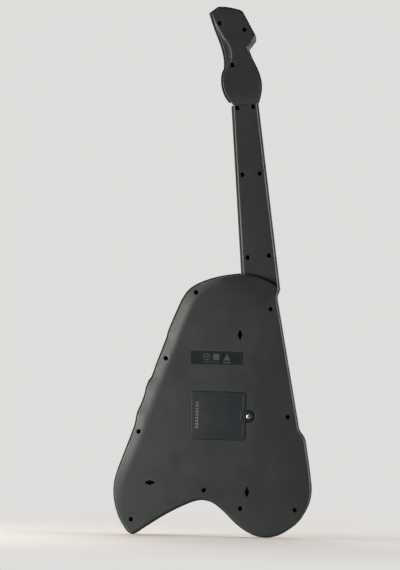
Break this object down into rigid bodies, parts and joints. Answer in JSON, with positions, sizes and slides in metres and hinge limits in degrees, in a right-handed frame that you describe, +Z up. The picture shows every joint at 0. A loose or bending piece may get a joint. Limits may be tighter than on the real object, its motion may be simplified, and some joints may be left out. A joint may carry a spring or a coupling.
{
  "type": "toy electric guitar",
  "caption": "Hollow plastic toy electric guitar with an asymmetric lobed body, bolted-on neck and headstock, strings, buttons, a speaker and a battery bay in its back.",
  "frame": {"origin": "bottom centre of the bounding box, level with the foot of its two lobes", "axes": "+Z up along its height, -Y out of its back, +Y out of its strings, +X to the right seen from behind"},
  "size_m": [0.262, 0.0506, 0.6993],
  "materials": {
    "back_casing": "fine moulded texture",
    "battery_holder": "moulded",
    "front_casing": "polished",
    "fingerboard": "satin",
    "faceplate": "polished",
    "pickguard": "polished",
    "metallised_plastic": "metallised",
    "strings": "drawn",
    "dark_screws": "blackened",
    "cover_screw": "plated",
    "battery_cells": "printed sleeve",
    "contacts": "plated",
    "boards": "coated",
    "leads": "satin",
    "speaker": "satin",
    "button_green": "polished",
    "button_red": "polished",
    "button_yellow": "polished",
    "button_blue": "polished",
    "button_orange": "polished"
  },
  "bodies": {
    "guitar": {"back_shell": "back_casing", "front_shell": "front_casing", "faceplate": "faceplate", "pickguard": "pickguard", "speaker_grille": "front_casing", "body_screw_1": "dark_screws", "body_screw_2": "dark_screws", "body_screw_3": "dark_screws", "body_screw_4": "dark_screws", "body_screw_5": "dark_screws", "body_screw_6": "dark_screws", "body_screw_7": "dark_screws", "body_screw_8": "dark_screws", "body_screw_9": "dark_screws", "neck_back_cover": "back_casing", "fingerboard": "fingerboard", "neck_screw_1": "dark_screws", "neck_screw_2": "dark_screws", "neck_screw_3": "dark_screws", "neck_screw_4": "dark_screws", "neck_screw_5": "dark_screws", "neck_screw_6": "dark_screws", "headstock_back": "back_casing", "headstock_front": "front_casing", "tuner_plate": "metallised_plastic", "headstock_screw_1": "dark_screws", "headstock_screw_2": "dark_screws", "headstock_screw_3": "dark_screws", "bridge": "metallised_plastic", "string_1": "strings", "string_2": "strings", "string_3": "strings", "string_4": "strings", "string_5": "strings", "string_6": "strings", "battery_box": "battery_holder", "battery_1": "battery_cells", "battery_2": "battery_cells", "battery_3": "battery_cells", "battery_4": "battery_cells", "contacts_left": "contacts", "contacts_right": "contacts", "main_board": "boards", "neck_board": "boards", "neck_ribbon_cable": "leads", "speaker_lead": "leads", "speaker_driver": "speaker"},
    "battery_door": {"battery_cover": "back_casing", "battery_cover_screw": "cover_screw"},
    "whammy_arm": {"whammy_bar": "metallised_plastic"},
    "volume": {"volume_knob": "metallised_plastic"},
    "power": {"power_switch": "front_casing"},
    "demo": {"demo_button": "button_red"},
    "rhythm": {"rhythm_button": "button_yellow"},
    "effect": {"effect_button": "button_blue"},
    "fret_1": {"fret_button_1": "button_green"},
    "fret_2": {"fret_button_2": "button_red"},
    "fret_3": {"fret_button_3": "button_yellow"},
    "fret_4": {"fret_button_4": "button_blue"},
    "fret_5": {"fret_button_5": "button_orange"}
  },
  "joints": [
    {"name": "battery_door_hinge", "type": "hinge", "parent": "guitar", "child": "battery_door", "pos_m": [-0.0308, -0.02525, 0.1598], "axis": [0, 0, -1], "range_deg": [0, 60]},
    {"name": "whammy_lever", "type": "hinge", "parent": "guitar", "child": "whammy_arm", "pos_m": [0.0484, 0.01605, 0.15696], "axis": [-0.9936, 0, -0.1132], "range_deg": [-3.5, 10], "stiffness_Nm_per_rad": 0.05},
    {"name": "volume_turn", "type": "hinge", "parent": "guitar", "child": "volume", "pos_m": [-0.034, 0.01175, 0.178], "axis": [0, 1, 0], "range_deg": [-140, 140]},
    {"name": "power_slide", "type": "slide", "parent": "guitar", "child": "power", "axis": [1, 0, 0], "range_m": [0, 0.007]},
    {"name": "demo_press", "type": "slide", "parent": "guitar", "child": "demo", "axis": [0, -1, 0], "range_m": [0, 0.0012], "stiffness_N_per_m": 200},
    {"name": "rhythm_press", "type": "slide", "parent": "guitar", "child": "rhythm", "axis": [0, -1, 0], "range_m": [0, 0.0012], "stiffness_N_per_m": 200},
    {"name": "effect_press", "type": "slide", "parent": "guitar", "child": "effect", "axis": [0, -1, 0], "range_m": [0, 0.0012], "stiffness_N_per_m": 200},
    {"name": "fret_1_press", "type": "slide", "parent": "guitar", "child": "fret_1", "axis": [0, -1, 0], "range_m": [0, 0.0012], "stiffness_N_per_m": 200},
    {"name": "fret_2_press", "type": "slide", "parent": "guitar", "child": "fret_2", "axis": [0, -1, 0], "range_m": [0, 0.0012], "stiffness_N_per_m": 200},
    {"name": "fret_3_press", "type": "slide", "parent": "guitar", "child": "fret_3", "axis": [0, -1, 0], "range_m": [0, 0.0012], "stiffness_N_per_m": 200},
    {"name": "fret_4_press", "type": "slide", "parent": "guitar", "child": "fret_4", "axis": [0, -1, 0], "range_m": [0, 0.0012], "stiffness_N_per_m": 200},
    {"name": "fret_5_press", "type": "slide", "parent": "guitar", "child": "fret_5", "axis": [0, -1, 0], "range_m": [0, 0.0012], "stiffness_N_per_m": 200}
  ]
}
